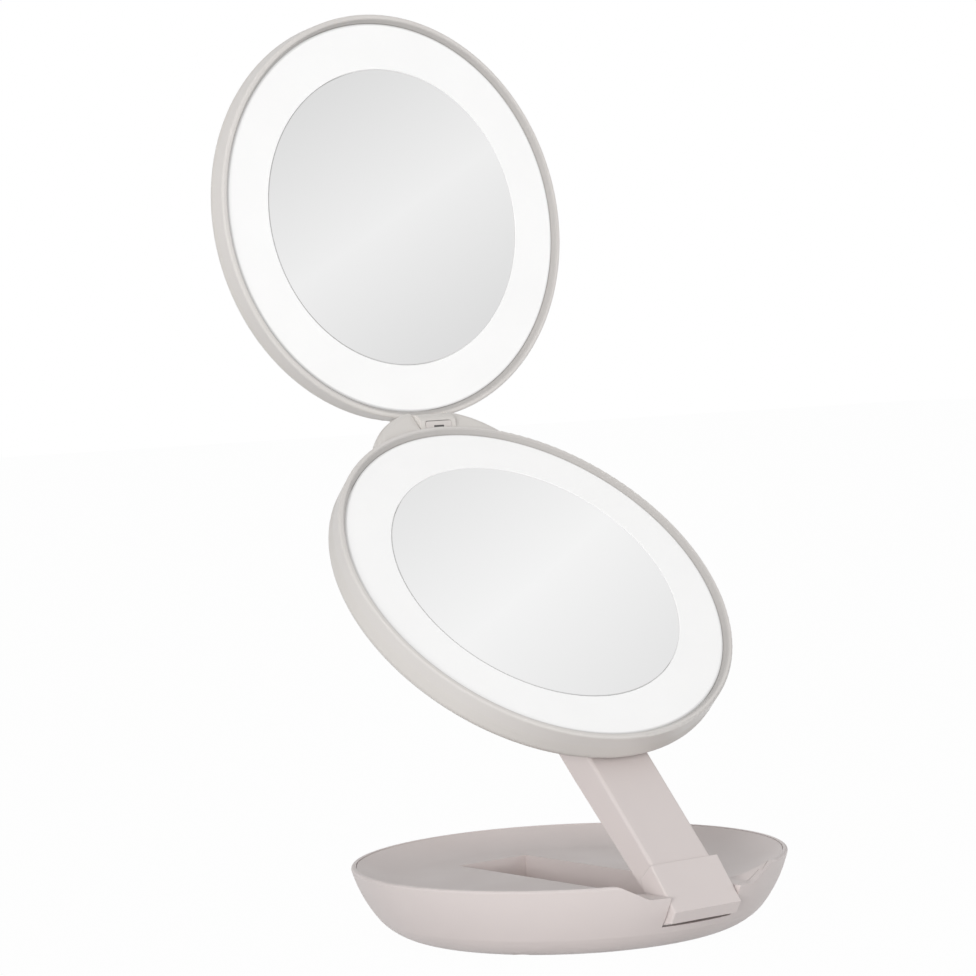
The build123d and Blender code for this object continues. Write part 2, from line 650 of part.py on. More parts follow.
# Swivel joint: a post on the lower head turns in the arm and is held by a disc and a screw
RETAINER_TOP = ARM_FRONT - ARM_WALL - RUNNING_GAP
with BuildPart() as swivel_washer:
    with BuildSketch(SWIVEL.offset(ARM_PAD_TOP)):
        Circle(WASHER_R)
        Circle(POST_R + RUNNING_GAP, mode=Mode.SUBTRACT)
    extrude(amount=WASHER_THICK)
export(swivel_washer.part, "swivel_washer")

with BuildPart() as swivel_retainer:
    with BuildSketch(SWIVEL.offset(RETAINER_TOP)):
        Circle(RETAINER_R)
        Circle(SCREW_R, mode=Mode.SUBTRACT)
    extrude(amount=-RETAINER_THICK)
export(swivel_retainer.part, "swivel_retainer")

SWIVEL_SCREW_LENGTH = 6.6
with BuildPart() as swivel_screw:
    with BuildSketch(SWIVEL.offset(RETAINER_TOP - RETAINER_THICK)):
        Circle(SCREW_HEAD_R)
    extrude(amount=-SCREW_HEAD)
    with BuildSketch(SWIVEL.offset(RETAINER_TOP - RETAINER_THICK)):
        Circle(SCREW_R)
    extrude(amount=SWIVEL_SCREW_LENGTH)
export(swivel_screw.part, "swivel_screw")


def head_cup(plane):
    """Back casing of a head: a shallow cup with a rounded back edge."""
    seam = -RIM_DEPTH
    floor = -HEAD_DEPTH + HEAD_FLOOR
    with BuildPart() as cup:
        with BuildSketch(profile_plane(plane)):
            with BuildLine():
                Line((0, -HEAD_DEPTH), (HEAD_R - HEAD_BACK_ROUND, -HEAD_DEPTH))
                RadiusArc((HEAD_R - HEAD_BACK_ROUND, -HEAD_DEPTH),
                          (HEAD_R, -HEAD_DEPTH + HEAD_BACK_ROUND), -HEAD_BACK_ROUND)
                Polyline((HEAD_R, -HEAD_DEPTH + HEAD_BACK_ROUND), (HEAD_R, seam),
                         (HEAD_R - HEAD_WALL, seam),
                         (HEAD_R - HEAD_WALL, floor + 1.5), (HEAD_R - HEAD_WALL - 1.5, floor),
                         (0, floor), (0, -HEAD_DEPTH))
            make_face()
        revolve(axis=spin_axis(plane))
    return cup.part


def head_rim(plane):
    """Front ring of a head: its lip, its outer wall and the skirt inside the cup."""
    inner = GUIDE_R + GLASS_GAP
    skirt = HEAD_R - HEAD_WALL - 0.1
    with BuildPart() as rim:
        with BuildSketch(profile_plane(plane)):
            with BuildLine():
                Line((HEAD_R, -RIM_DEPTH), (HEAD_R, RIM_PROUD - 0.7))
                ThreePointArc((HEAD_R, RIM_PROUD - 0.7), (HEAD_R - 0.22, RIM_PROUD - 0.2),
                              (HEAD_R - 0.7, RIM_PROUD))
                Polyline((HEAD_R - 0.7, RIM_PROUD), (HEAD_R - RIM_LIP + 0.2, RIM_PROUD),
                         (HEAD_R - RIM_LIP, RIM_PROUD - 0.2), (inner, 0),
                         (inner, -GUIDE_THICK), (inner - 1.2, -GUIDE_THICK),
                         (inner - 1.2, -RIM_DEPTH - RIM_SKIRT), (skirt, -RIM_DEPTH - RIM_SKIRT),
                         (skirt, -RIM_DEPTH), (HEAD_R, -RIM_DEPTH))
            make_face()
        revolve(axis=spin_axis(plane))
    return rim.part


def knuckle_slot(plane):
    """Room for the middle knuckle: round beside the lower head and open beyond the pin."""
    half = BRACKET_HALF + SLOT_GAP
    with BuildPart() as slot:
        with BuildSketch(plane.offset(-HEAD_DEPTH - 1)):
            with Locations((0, HINGE_REACH + 10)):
                Rectangle(2 * half, 20)
        extrude(amount=HEAD_DEPTH + 4)
        with BuildSketch(Plane(origin=HEAD_HINGE, z_dir=X_AXIS)):
            Circle(BRACKET_R + SLOT_CLEAR)
        extrude(amount=half, both=True)
        # Below the pin the slot keeps its full width down to the back of the lug
        with BuildSketch(plane.offset(-HEAD_DEPTH - 1)):
            with Locations((0, SLOT_REACH + 5)):
                Rectangle(2 * half, 10)
        extrude(amount=HEAD_DEPTH + 1 - HEAD_HINGE_DROP)
    return slot.part


LOWER_CUP = head_cup(LOWER)
UPPER_CUP = head_cup(UPPER)
LOWER_RIM = head_rim(LOWER)
UPPER_RIM = head_rim(UPPER)
SLOT_REACH = HINGE_REACH - BRACKET_R - SLOT_CLEAR
KNUCKLE_SLOT = knuckle_slot(LOWER)

# Back casing of the lower head, with the hinge lug and the swivel post
with BuildPart() as lug_body:
    with BuildSketch(LOWER.offset(-HEAD_DEPTH)):
        with Locations((0, LUG_TIP - LUG_R)):
            Circle(LUG_R)
        Circle(HEAD_R - 0.4, mode=Mode.SUBTRACT)
    extrude(amount=HEAD_DEPTH - LUG_FRONT)
    outer_edges = lug_body.edges().filter_by(
        lambda edge: (edge.center() - LOWER_CENTRE).dot(LOWER_UP) > HEAD_R + 2.2
        and abs((edge % 0.5).dot(LOWER_FACE)) < 0.5)
    fillet(outer_edges, LUG_ROUND)
with BuildPart() as lower_back_shell:
    add(LOWER_CUP)
    # Wall behind the knuckle's slot
    with BuildSketch(LOWER.offset(-HEAD_DEPTH)):
        with Locations((0, SLOT_REACH - 0.2)):
            Rectangle(2 * (BRACKET_HALF + SLOT_GAP + HEAD_WALL), 2.6)
    extrude(amount=HEAD_DEPTH - RIM_DEPTH - RIM_SKIRT)
    add(lug_body.part)
    add(KNUCKLE_SLOT, mode=Mode.SUBTRACT)
    add(LOWER_RIM, mode=Mode.SUBTRACT)
    # No sliver of the cup is left in front of the rim's skirt
    with BuildSketch(LOWER.offset(-RIM_DEPTH - RIM_SKIRT)):
        with Locations((0, HEAD_R)):
            Rectangle(2 * (BRACKET_HALF + SLOT_GAP), 4.0)
    extrude(amount=RIM_SKIRT, mode=Mode.SUBTRACT)
    with BuildSketch(Plane(origin=HEAD_HINGE, z_dir=X_AXIS)):
        Circle(HEAD_PIN_R)
    extrude(amount=HEAD_PIN_HALF, both=True, mode=Mode.SUBTRACT)
    with BuildSketch(SWIVEL.offset(RETAINER_TOP)):
        Circle(POST_R)
    extrude(amount=HEAD_STANDOFF + HEAD_FLOOR + POST_BOSS - RETAINER_TOP)
    with BuildSketch(SWIVEL.offset(RETAINER_TOP)):
        Circle(SCREW_R)
    extrude(amount=SWIVEL_SCREW_LENGTH - RETAINER_THICK, mode=Mode.SUBTRACT)
export(lower_back_shell.part, "lower_back_shell")

with BuildPart() as lower_rim:
    add(LOWER_RIM)
    add(KNUCKLE_SLOT, mode=Mode.SUBTRACT)
export(lower_rim.part, "lower_rim")

# Back casing of the upper head, with the bracket that holds the middle knuckle
HINGE_SIDE = side_plane(HEAD_HINGE, UPPER_TILT)
NECK = HEAD_HINGE_OUT - 0.35
BRACKET_TOP = HEAD_HINGE_OUT + 0.6
BRACKET_BACK = -UPPER_RISE - HEAD_DEPTH
BUTTON_PLANE = Plane(origin=HEAD_HINGE + UPPER_UP * BUTTON_UP, x_dir=X_AXIS, z_dir=UPPER_FACE)
with BuildPart() as bracket_body:
    with BuildSketch(HINGE_SIDE):
        Circle(BRACKET_R)
        with BuildLine():
            Polyline((NECK, -sqrt(BRACKET_R ** 2 - NECK ** 2)), (NECK, RIM_PROUD - UPPER_RISE - 0.1),
                     (BRACKET_TOP, RIM_PROUD - UPPER_RISE - 0.8), (BRACKET_TOP, BRACKET_BACK + 1.2),
                     (2.2, BRACKET_BACK + 1.6), (-2.8, -3.2), (0, 0), close=True)
        make_face()
    extrude(amount=BRACKET_HALF, both=True)
    split(bisect_by=Plane(origin=HEAD_HINGE + UPPER_FACE * BUTTON_FACE, z_dir=UPPER_FACE),
          keep=Keep.BOTTOM)
with BuildPart() as upper_back_shell:
    add(bracket_body.part)
    add(UPPER_RIM, mode=Mode.SUBTRACT)
    with BuildSketch(UPPER.offset(-HEAD_DEPTH + 1)):
        Circle(HEAD_R - 0.5)
    extrude(amount=HEAD_DEPTH + RIM_PROUD - 0.9, mode=Mode.SUBTRACT)
    add(UPPER_CUP)
    with BuildSketch(Plane(origin=HEAD_HINGE, z_dir=X_AXIS)):
        Circle(HEAD_PIN_R + RUNNING_GAP)
    extrude(amount=BRACKET_HALF + 1, both=True, mode=Mode.SUBTRACT)
    # Pocket for the button and its switch
    with BuildSketch(BUTTON_PLANE.offset(SWITCH_BACK)):
        RectangleRounded(BUTTON_WIDE + 2 * BUTTON_GAP, BUTTON_HIGH + 2 * BUTTON_GAP, 0.8)
    extrude(amount=6, mode=Mode.SUBTRACT)
export(upper_back_shell.part, "upper_back_shell")

with BuildPart() as upper_rim:
    add(UPPER_RIM)
export(upper_rim.part, "upper_rim")

with BuildPart() as head_hinge_pin:
    with BuildSketch(Plane(origin=HEAD_HINGE, z_dir=X_AXIS)):
        Circle(HEAD_PIN_R)
    extrude(amount=HEAD_PIN_HALF, both=True)
export(head_hinge_pin.part, "head_hinge_pin")

with BuildPart() as power_switch:
    with BuildSketch(BUTTON_PLANE.offset(SWITCH_BACK)):
        Rectangle(*SWITCH_SIZE)
    extrude(amount=SWITCH_THICK)
export(power_switch.part, "power_switch")

with BuildPart() as power_button:
    with BuildSketch(BUTTON_PLANE.offset(BUTTON_FACE + BUTTON_PROUD - BUTTON_THICK)):
        RectangleRounded(BUTTON_WIDE, BUTTON_HIGH, 0.6)
    extrude(amount=BUTTON_THICK)
    with BuildSketch(BUTTON_PLANE.offset(BUTTON_FACE + BUTTON_PROUD)):
        SlotOverall(*BUTTON_MARK)
    extrude(amount=-0.25, mode=Mode.SUBTRACT)
export(power_button.part, "power_button")

# What both heads hold: mirror, tray, light guide, lamp board and lamps
for name, (plane, sag) in HEADS.items():
    plate = -GLASS_THICK - sag - PAD_THICK
    seat = -GLASS_THICK - sag * (1 - (SEAT_R / GLASS_R) ** 2) - 0.01
    with BuildPart() as mirror_tray:
        with BuildSketch(profile_plane(plane)):
            with BuildLine():
                Polyline((0, plate), (SEAT_R, plate), (SEAT_R, seat), (GLASS_R + 0.05, seat),
                         (GLASS_R + 0.05, -GUIDE_THICK), (GLASS_R + HEAD_WALL, -GUIDE_THICK),
                         (GLASS_R + HEAD_WALL, -HEAD_DEPTH + HEAD_FLOOR),
                         (GLASS_R + 0.5, -HEAD_DEPTH + HEAD_FLOOR), (GLASS_R + 0.5, plate - PLATE_THICK),
                         (0, plate - PLATE_THICK), close=True)
            make_face()
        revolve(axis=spin_axis(plane))
    export(mirror_tray.part, f"{name}_mirror_tray")

    with BuildPart() as mirror_glass:
        with BuildSketch(profile_plane(plane)):
            with BuildLine():
                if sag:
                    curve = (GLASS_R ** 2 + sag ** 2) / (2 * sag)
                    spread = degrees(asin(GLASS_R / curve))
                    front = CenterArc((0, curve - sag), curve, -90, spread)
                    back = CenterArc((0, curve - sag - GLASS_THICK), curve, -90, spread)
                else:
                    front = Line((0, 0), (GLASS_R, 0))
                    back = Line((0, -GLASS_THICK), (GLASS_R, -GLASS_THICK))
                Line(front @ 1, back @ 1)
                Line(back @ 0, front @ 0)
            make_face()
        revolve(axis=spin_axis(plane))
    export(mirror_glass.part, f"{name}_mirror_glass")

    with BuildPart() as mirror_pad:
        with BuildSketch(plane.offset(plate)):
            Circle(PAD_R)
        extrude(amount=PAD_THICK + 0.5 * sag)
        add(mirror_glass.part, mode=Mode.SUBTRACT)
    export(mirror_pad.part, f"{name}_mirror_pad")

    with BuildPart() as light_guide:
        with BuildSketch(plane.offset(-GUIDE_THICK)):
            Circle(GUIDE_R)
            Circle(GLASS_R + GLASS_GAP, mode=Mode.SUBTRACT)
        extrude(amount=GUIDE_THICK)
        fillet(light_guide.edges().filter_by(GeomType.CIRCLE).filter_by(
            lambda edge: abs((edge.arc_center - plane.origin).dot(plane.z_dir)) < 0.01), 0.3)
    export(light_guide.part, f"{name}_light_guide")

    board_out = GUIDE_R - 1.6
    board_in = GLASS_R + HEAD_WALL + BOARD_GAP
    board_low = -HEAD_DEPTH + HEAD_FLOOR
    with BuildPart() as lamp_board:
        with BuildSketch(plane.offset(board_low)):
            Circle(board_out)
            Circle(board_in, mode=Mode.SUBTRACT)
        extrude(amount=BOARD_THICK)
    export(lamp_board.part, f"{name}_lamp_board")

    with BuildPart() as lamps:
        with BuildSketch(plane.offset(board_low + BOARD_THICK)):
            with PolarLocations(0.5 * (board_in + board_out), LED_COUNT):
                Rectangle(LED_SIZE[0], LED_SIZE[1])
        extrude(amount=LED_SIZE[2])
    export(lamps.part, f"{name}_lamps")
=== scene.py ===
"""Looks of the lighted travel mirror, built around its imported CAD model. Lengths are metres."""
from math import cos, pi, radians, sin

import bmesh
import bpy
from mathutils import Matrix, Vector


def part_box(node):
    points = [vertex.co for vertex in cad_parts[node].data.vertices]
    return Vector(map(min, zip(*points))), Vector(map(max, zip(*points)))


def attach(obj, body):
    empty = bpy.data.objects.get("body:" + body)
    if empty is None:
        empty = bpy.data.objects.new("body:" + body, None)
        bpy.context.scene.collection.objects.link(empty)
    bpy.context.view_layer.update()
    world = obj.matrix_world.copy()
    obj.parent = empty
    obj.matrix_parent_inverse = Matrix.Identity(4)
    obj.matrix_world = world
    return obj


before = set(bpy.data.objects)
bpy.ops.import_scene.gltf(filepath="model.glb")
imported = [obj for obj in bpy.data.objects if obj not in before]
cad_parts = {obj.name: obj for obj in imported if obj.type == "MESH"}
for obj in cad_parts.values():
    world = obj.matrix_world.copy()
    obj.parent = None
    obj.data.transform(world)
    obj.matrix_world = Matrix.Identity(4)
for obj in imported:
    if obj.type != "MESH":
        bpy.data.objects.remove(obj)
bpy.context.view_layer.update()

MM = 0.001
# Lean of each mirror from upright, in degrees
TILTS = {"lower": 45.0, "upper": 6.5}

# Camera, fitted to both mirror rings, the base's rim and the hinge block
CAMERA_AZIMUTH = radians(-36.79)
CAMERA_HEIGHT_ANGLE = radians(2.2)
CAMERA_ROLL = radians(-2.75)
CAMERA_DISTANCE = 0.94092
CAMERA_RIGHT = -0.01836
CAMERA_UP = -0.00203
CAMERA_AIM = Vector((0, 0, 0.13))
FOCAL_PIXELS = 3245.08
PHOTO_WIDTH = 976.0
SENSOR = 36.0

# Colours as linear values
CASING = (0.700, 0.636, 0.621)
HEAD_CASING = (0.700, 0.671, 0.641)
RIM = (0.705, 0.676, 0.652)
BUTTON = (0.680, 0.640, 0.618)
DASH = (0.10, 0.095, 0.095)
DIFFUSER = (0.62, 0.62, 0.62)
GUIDE_LIGHT = (1.0, 0.995, 0.985)
INNER = (0.78, 0.78, 0.77)
FOAM = (0.07, 0.07, 0.075)
BOARD = (0.80, 0.82, 0.80)
PHOSPHOR = (0.90, 0.78, 0.38)
SWITCH = (0.02, 0.02, 0.02)
STEEL = (0.56, 0.56, 0.57)
WASHER = (0.06, 0.06, 0.065)
FOOT_PAD = (0.36, 0.35, 0.35)
CELL = (0.03, 0.14, 0.09)
PAPER = (0.70, 0.70, 0.70)
WHITE = (1.0, 1.0, 1.0)

# Part of a noise texture's range that most of its values lie in
NOISE_RANGE = (0.3, 0.7)
# Inputs and output of the Mix node when it mixes colours
MIX_FACTOR = 0
MIX_FIRST = 6
MIX_SECOND = 7
MIX_RESULT = 2

STEEL_ROUGHNESS = 0.28
# Brushed lines run along x: the noise is stretched by these scales
BRUSH_SCALE = (90.0, 2200.0, 2200.0)

# Brightness of each mirror's colour along its bright band, which is a painted reflection, and far from
# it
SILVER_WITH_PAINTED_BAND = {"lower": (0.900, 0.785), "upper": (0.860, 0.725)}
# Shares of the directions across and up the mirror that the painted reflection band fades along, and
# how far
BAND_ACROSS = 0.471
BAND_UP = -0.882
BAND_REACH = 44 * MM

GLOW_STRENGTH = 0.35
# Radii between which the lip and the light guide darken towards the gap between them: painted shade of
# that gap
LIP_SHADE = (61.0 * MM, 61.7 * MM)
GUIDE_SHADE = (59.4 * MM, 59.9 * MM)
# Shares of the colour that are left at the lesser and at the greater of those radii, in that painted
# shade
LIP_SHADE_TONES = (0.70, 1.0)
GUIDE_SHADE_TONES = (1.0, 0.55)

DASH_HALF_LENGTH = 1.82 * MM
DASH_HALF_HEIGHT = 0.32 * MM

# Back of the lower head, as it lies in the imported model, and how much deeper the photo shows it
HEAD_R = 62.8 * MM
HEAD_BACK = 7.3 * MM
HEAD_BACK_ROUND = 2.8 * MM
GUIDE_THICK = 2.2 * MM
EXTRA_DEPTH = 1.7 * MM
# Gap between the shell and the back cover, so that their faces don't lie in each other
COVER_GAP = 0.02 * MM
COVER_SIDES = 240
ROUND_STEPS = 10
# Round opening of the cover for the arm's raised pad
PAD_ROOM = 10.2 * MM
PAD_ROOM_SIDES = 96
CUT_MARGIN = 1 * MM
SHARP_ANGLE = radians(30)

FLOOR_HALF = 6.0
# Share of plain white that the eye sees in the floor. The rest keeps the object's shadow.
FLOOR_WHITE = 0.98
WORLD_STRENGTH = 0.50
# Each soft lamp's place, width and power in watts, and the point that they all aim at
LAMPS = {"key": ((-1.66, -1.22, 0.16), 1.1, 37.5), "fill": ((1.5, -1.4, 0.3), 1.2, 9.0)}
LAMP_AIM = Vector((0, 0, 0.12))


def new_object(name, data):
    thing = bpy.data.objects.new(name, data)
    bpy.context.scene.collection.objects.link(thing)
    return thing


def turned_to(right, up, out):
    """Matrix that turns the x, y and z axes to three directions."""
    return Matrix((right, up, out)).transposed().to_4x4()


def add_camera():
    azimuth, lift = CAMERA_AZIMUTH, CAMERA_HEIGHT_ANGLE
    back = Vector((sin(azimuth) * cos(lift), -cos(azimuth) * cos(lift), sin(lift)))
    level = Vector((cos(azimuth), sin(azimuth), 0))
    upright = back.cross(level)
    right = level * cos(CAMERA_ROLL) + upright * sin(CAMERA_ROLL)
    up = upright * cos(CAMERA_ROLL) - level * sin(CAMERA_ROLL)
    place = CAMERA_AIM + back * CAMERA_DISTANCE + right * CAMERA_RIGHT + up * CAMERA_UP
    data = bpy.data.cameras.new("photo_camera")
    data.sensor_fit = "HORIZONTAL"
    data.sensor_width = SENSOR
    data.lens = FOCAL_PIXELS / PHOTO_WIDTH * SENSOR
    data.clip_start = 0.01
    data.clip_end = 100
    camera = new_object("photo_camera", data)
    camera.matrix_world = Matrix.Translation(place) @ turned_to(right, up, back)
    bpy.context.scene.camera = camera


def empty_tree(holder):
    """Node tree of a material or world, with nothing in it."""
    holder.use_nodes = True
    holder.node_tree.nodes.clear()
    return holder.node_tree


def new_material(name):
    material = bpy.data.materials.new(name)
    tree = empty_tree(material)
    output = tree.nodes.new("ShaderNodeOutputMaterial")
    shader = tree.nodes.new("ShaderNodeBsdfPrincipled")
    tree.links.new(shader.outputs["BSDF"], output.inputs["Surface"])
    return material, tree, shader


def feed(tree, value, socket):
    """Gives a node's input the output of another node, or a plain value."""
    if isinstance(value, bpy.types.NodeSocket):
        tree.links.new(value, socket)
    else:
        socket.default_value = value


def calculate(tree, operation, *values):
    node = tree.nodes.new("ShaderNodeMath")
    node.operation = operation
    for value, socket in zip(values, node.inputs):
        feed(tree, value, socket)
    return node.outputs["Value"]


def calculate_vector(tree, operation, *values):
    """Vector step. The caller takes its Vector or its Value from the outputs."""
    node = tree.nodes.new("ShaderNodeVectorMath")
    node.operation = operation
    for value, socket in zip(values, node.inputs):
        feed(tree, value, socket)
    return node.outputs


def object_point(tree):
    return tree.nodes.new("ShaderNodeTexCoord").outputs["Object"]


def noise(tree, scale, detail=2.0, roughness=0.5, point=None):
    texture = tree.nodes.new("ShaderNodeTexNoise")
    texture.inputs["Scale"].default_value = scale
    texture.inputs["Detail"].default_value = detail
    texture.inputs["Roughness"].default_value = roughness
    tree.links.new(point or object_point(tree), texture.inputs["Vector"])
    return texture.outputs["Fac"]


def ramp(tree, value, low, high, span=NOISE_RANGE):
    """Colour that goes from one to another while the value goes through the span."""
    node = tree.nodes.new("ShaderNodeValToRGB")
    for element, place, colour in zip(node.color_ramp.elements, span, (low, high)):
        element.position = place
        element.color = (*colour, 1)
    tree.links.new(value, node.inputs["Fac"])
    return node.outputs["Color"]


def rescale(tree, value, source, target):
    """Number that goes through the target range while the value goes through the source range."""
    node = tree.nodes.new("ShaderNodeMapRange")
    for socket, limit in zip(("From Min", "From Max", "To Min", "To Max"), (*source, *target)):
        node.inputs[socket].default_value = limit
    tree.links.new(value, node.inputs["Value"])
    return node.outputs["Result"]


def bump(tree, shader, value, strength, distance):
    node = tree.nodes.new("ShaderNodeBump")
    node.inputs["Strength"].default_value = strength
    node.inputs["Distance"].default_value = distance
    tree.links.new(value, node.inputs["Height"])
    tree.links.new(node.outputs["Normal"], shader.inputs["Normal"])


def tinted(colour, share):
    return tuple(min(1.0, part * share) for part in colour)


def grey(tone):
    return tone, tone, tone


def plastic(name, colour, roughness=0.42, grain=0.12):
    """Moulded plastic: fine spark-eroded grain, a slow drift of colour and uneven gloss."""
    material, tree, shader = new_material(name)
    drift = ramp(tree, noise(tree, scale=22.0, detail=3.0), tinted(colour, 0.98), tinted(colour, 1.02))
    gloss = rescale(tree, noise(tree, scale=60.0, detail=4.0), NOISE_RANGE,
                    (roughness - 0.05, roughness + 0.06))
    tree.links.new(drift, shader.inputs["Base Color"])
    tree.links.new(gloss, shader.inputs["Roughness"])
    shader.inputs["Specular IOR Level"].default_value = 0.42
    sparks = noise(tree, scale=1500.0, detail=3.0, roughness=0.6)
    bump(tree, shader, sparks, strength=grain, distance=0.06 * MM)
    return material


def metal(name, colour):
    """Brushed metal: fine lines in its colour, gloss and height."""
    material, tree, shader = new_material(name)
    stretch = tree.nodes.new("ShaderNodeMapping")
    stretch.inputs["Scale"].default_value = BRUSH_SCALE
    tree.links.new(object_point(tree), stretch.inputs["Vector"])
    lines = noise(tree, scale=1.0, detail=3.0, point=stretch.outputs["Vector"])
    tree.links.new(ramp(tree, lines, tinted(colour, 0.92), tinted(colour, 1.08)),
                   shader.inputs["Base Color"])
    tree.links.new(rescale(tree, lines, NOISE_RANGE, (STEEL_ROUGHNESS - 0.06, STEEL_ROUGHNESS + 0.1)),
                   shader.inputs["Roughness"])
    shader.inputs["Metallic"].default_value = 1.0
    bump(tree, shader, lines, strength=0.08, distance=0.04 * MM)
    return material


def rubber(name, colour):
    """Dull rubber or foam with an open, uneven skin."""
    material, tree, shader = new_material(name)
    cloud = noise(tree, scale=300.0, detail=5.0)
    tree.links.new(ramp(tree, cloud, tinted(colour, 0.85), tinted(colour, 1.12)),
                   shader.inputs["Base Color"])
    shader.inputs["Roughness"].default_value = 0.82
    shader.inputs["Specular IOR Level"].default_value = 0.3
    skin = noise(tree, scale=2200.0, detail=4.0, roughness=0.7)
    bump(tree, shader, skin, strength=0.5, distance=0.1 * MM)
    return material


def glow(name, colour, strength):
    """Milky light guide, lit from behind."""
    material, tree, shader = new_material(name)
    cloud = noise(tree, scale=45.0)
    tree.links.new(ramp(tree, cloud, tinted(colour, 0.985), tinted(colour, 1.015)),
                   shader.inputs["Base Color"])
    shader.inputs["Roughness"].default_value = 0.35
    shader.inputs["Emission Color"].default_value = (*GUIDE_LIGHT, 1)
    shader.inputs["Emission Strength"].default_value = strength
    bump(tree, shader, noise(tree, scale=900.0), strength=0.04, distance=0.04 * MM)
    return material


def distance_along(tree, centre, way):
    """How far a point of the object lies from a centre along one direction, without its sign."""
    along = calculate_vector(tree, "DOT_PRODUCT", object_point(tree), way)["Value"]
    return calculate(tree, "ABSOLUTE", calculate(tree, "SUBTRACT", along, centre.dot(way)))


def distance_from_axis(tree, centre, axis):
    shift = calculate_vector(tree, "SUBTRACT", object_point(tree), centre)["Vector"]
    cross = calculate_vector(tree, "CROSS_PRODUCT", shift, axis)["Vector"]
    return calculate_vector(tree, "LENGTH", cross)["Value"]


def mirror(name, tones, centre, across, up):
    """Silvered glass, whose colour is a little brighter along one slanting band: a painted reflection.
    """
    material, tree, shader = new_material(name)
    # The bright slanting band is a painted reflection, laid into the base colour
    way = across * BAND_ACROSS + up * BAND_UP
    fade = rescale(tree, distance_along(tree, centre, way), (0.0, BAND_REACH), (0.0, 1.0))
    near, far = tones
    tree.links.new(ramp(tree, fade, grey(near), grey(far), span=(0.0, 1.0)),
                   shader.inputs["Base Color"])
    shader.inputs["Metallic"].default_value = 1.0
    tree.links.new(rescale(tree, noise(tree, scale=120.0), NOISE_RANGE, (0.02, 0.045)),
                   shader.inputs["Roughness"])
    shader.inputs["Coat Weight"].default_value = 0.4
    shader.inputs["Coat Roughness"].default_value = 0.02
    return material


def lay_over(material, blend, factor, colour):
    """Lays a colour over the one that the material's shader has already."""
    tree = material.node_tree
    shader = next(node for node in tree.nodes if node.type == "BSDF_PRINCIPLED")
    mix = tree.nodes.new("ShaderNodeMix")
    mix.data_type = "RGBA"
    mix.blend_type = blend
    feed(tree, factor, mix.inputs[MIX_FACTOR])
    feed(tree, shader.inputs["Base Color"].links[0].from_socket, mix.inputs[MIX_FIRST])
    feed(tree, colour, mix.inputs[MIX_SECOND])
    tree.links.new(mix.outputs[MIX_RESULT], shader.inputs["Base Color"])
    return material


def shade_by_radius(material, centre, axis, radii, tones):
    """Paints shade: multiplies a material's colour by a tone that changes between two radii from an
    axis.
    """
    tree = material.node_tree
    fade = rescale(tree, distance_from_axis(tree, centre, axis), radii, (0.0, 1.0))
    inner, outer = tones
    tone = ramp(tree, fade, grey(inner), grey(outer), span=(0.0, 1.0))
    return lay_over(material, "MULTIPLY", 1.0, tone)


def marked_button(name, centre, across, up):
    """Button plastic with a dark dash in its shallow groove."""
    material = plastic(name, BUTTON, roughness=0.4, grain=0.08)
    tree = material.node_tree
    in_length = calculate(tree, "LESS_THAN", distance_along(tree, centre, across), DASH_HALF_LENGTH)
    in_height = calculate(tree, "LESS_THAN", distance_along(tree, centre, up), DASH_HALF_HEIGHT)
    inside = calculate(tree, "MULTIPLY", in_length, in_height)
    return lay_over(material, "MIX", inside, (*DASH, 1))


def dress(material, *names):
    for name in names:
        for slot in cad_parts[name].material_slots:
            slot.material = material


def middle_of(name):
    low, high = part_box(name)
    return (Vector(low) + Vector(high)) / 2


def face_directions(head):
    """Directions across, up and out of a head's tilted front."""
    tilt = radians(TILTS[head])
    across = Vector((1, 0, 0))
    up = Vector((0, sin(tilt), cos(tilt)))
    return across, up, across.cross(up)


def dress_ring(head):
    """Front ring and light guide of a head, each darker towards the gap between them with painted
    shade.
    """
    rim, guide = f"{head}_rim", f"{head}_light_guide"
    out = face_directions(head)[2]
    centre = middle_of(guide)
    lip = plastic(f"{rim}_plastic", RIM, roughness=0.34, grain=0.07)
    # Painted shade on the lip and on the light guide, at the gap between them
    dress(shade_by_radius(lip, centre, out, LIP_SHADE, LIP_SHADE_TONES), rim)
    milk = glow(f"{guide}_milk", DIFFUSER, GLOW_STRENGTH)
    dress(shade_by_radius(milk, centre, out, GUIDE_SHADE, GUIDE_SHADE_TONES), guide)


def dress_glass(head):
    glass = f"{head}_mirror_glass"
    across, up, _ = face_directions(head)
    dress(mirror(f"{head}_silver_with_painted_band", SILVER_WITH_PAINTED_BAND[head], middle_of(glass), across, up), glass)


def dress_all():
    casing = plastic("casing_plastic", CASING)
    head_casing = plastic("head_casing_plastic", HEAD_CASING)
    inner = plastic("inner_plastic", INNER, roughness=0.5)
    steel = metal("steel", STEEL)
    dress(casing, "base_shell", "base_tray", "battery_door", "arm_front_shell", "arm_back_cover")
    for head in TILTS:
        dress(head_casing, f"{head}_back_shell")
        dress_ring(head)
    add_back_cover(head_casing)
    across, up, _ = face_directions("upper")
    dress(marked_button("button_plastic", middle_of("power_button"), across, up), "power_button")
    dress(steel, "base_screws", "arm_hinge_pin", "battery_contacts", "battery_springs", "arm_screws",
          "swivel_retainer", "swivel_screw", "head_hinge_pin")
    dress(plastic("washer_plastic", WASHER, roughness=0.38), "swivel_washer")
    dress(plastic("switch_plastic", SWITCH, roughness=0.4), "power_switch")
    dress(rubber("foot_rubber", FOOT_PAD), "base_feet")
    cell = plastic("cell_sleeve", CELL, roughness=0.25, grain=0.03)
    dress(cell, "battery_cell_1", "battery_cell_2", "battery_cell_3")
    foam = rubber("foam", FOAM)
    board = plastic("board_resin", BOARD, roughness=0.3, grain=0.05)
    phosphor = plastic("lamp_phosphor", PHOSPHOR, roughness=0.3, grain=0.05)
    for head in TILTS:
        dress(inner, f"{head}_mirror_tray")
        dress(foam, f"{head}_mirror_pad")
        dress(board, f"{head}_lamp_board")
        dress(phosphor, f"{head}_lamps")
        dress_glass(head)


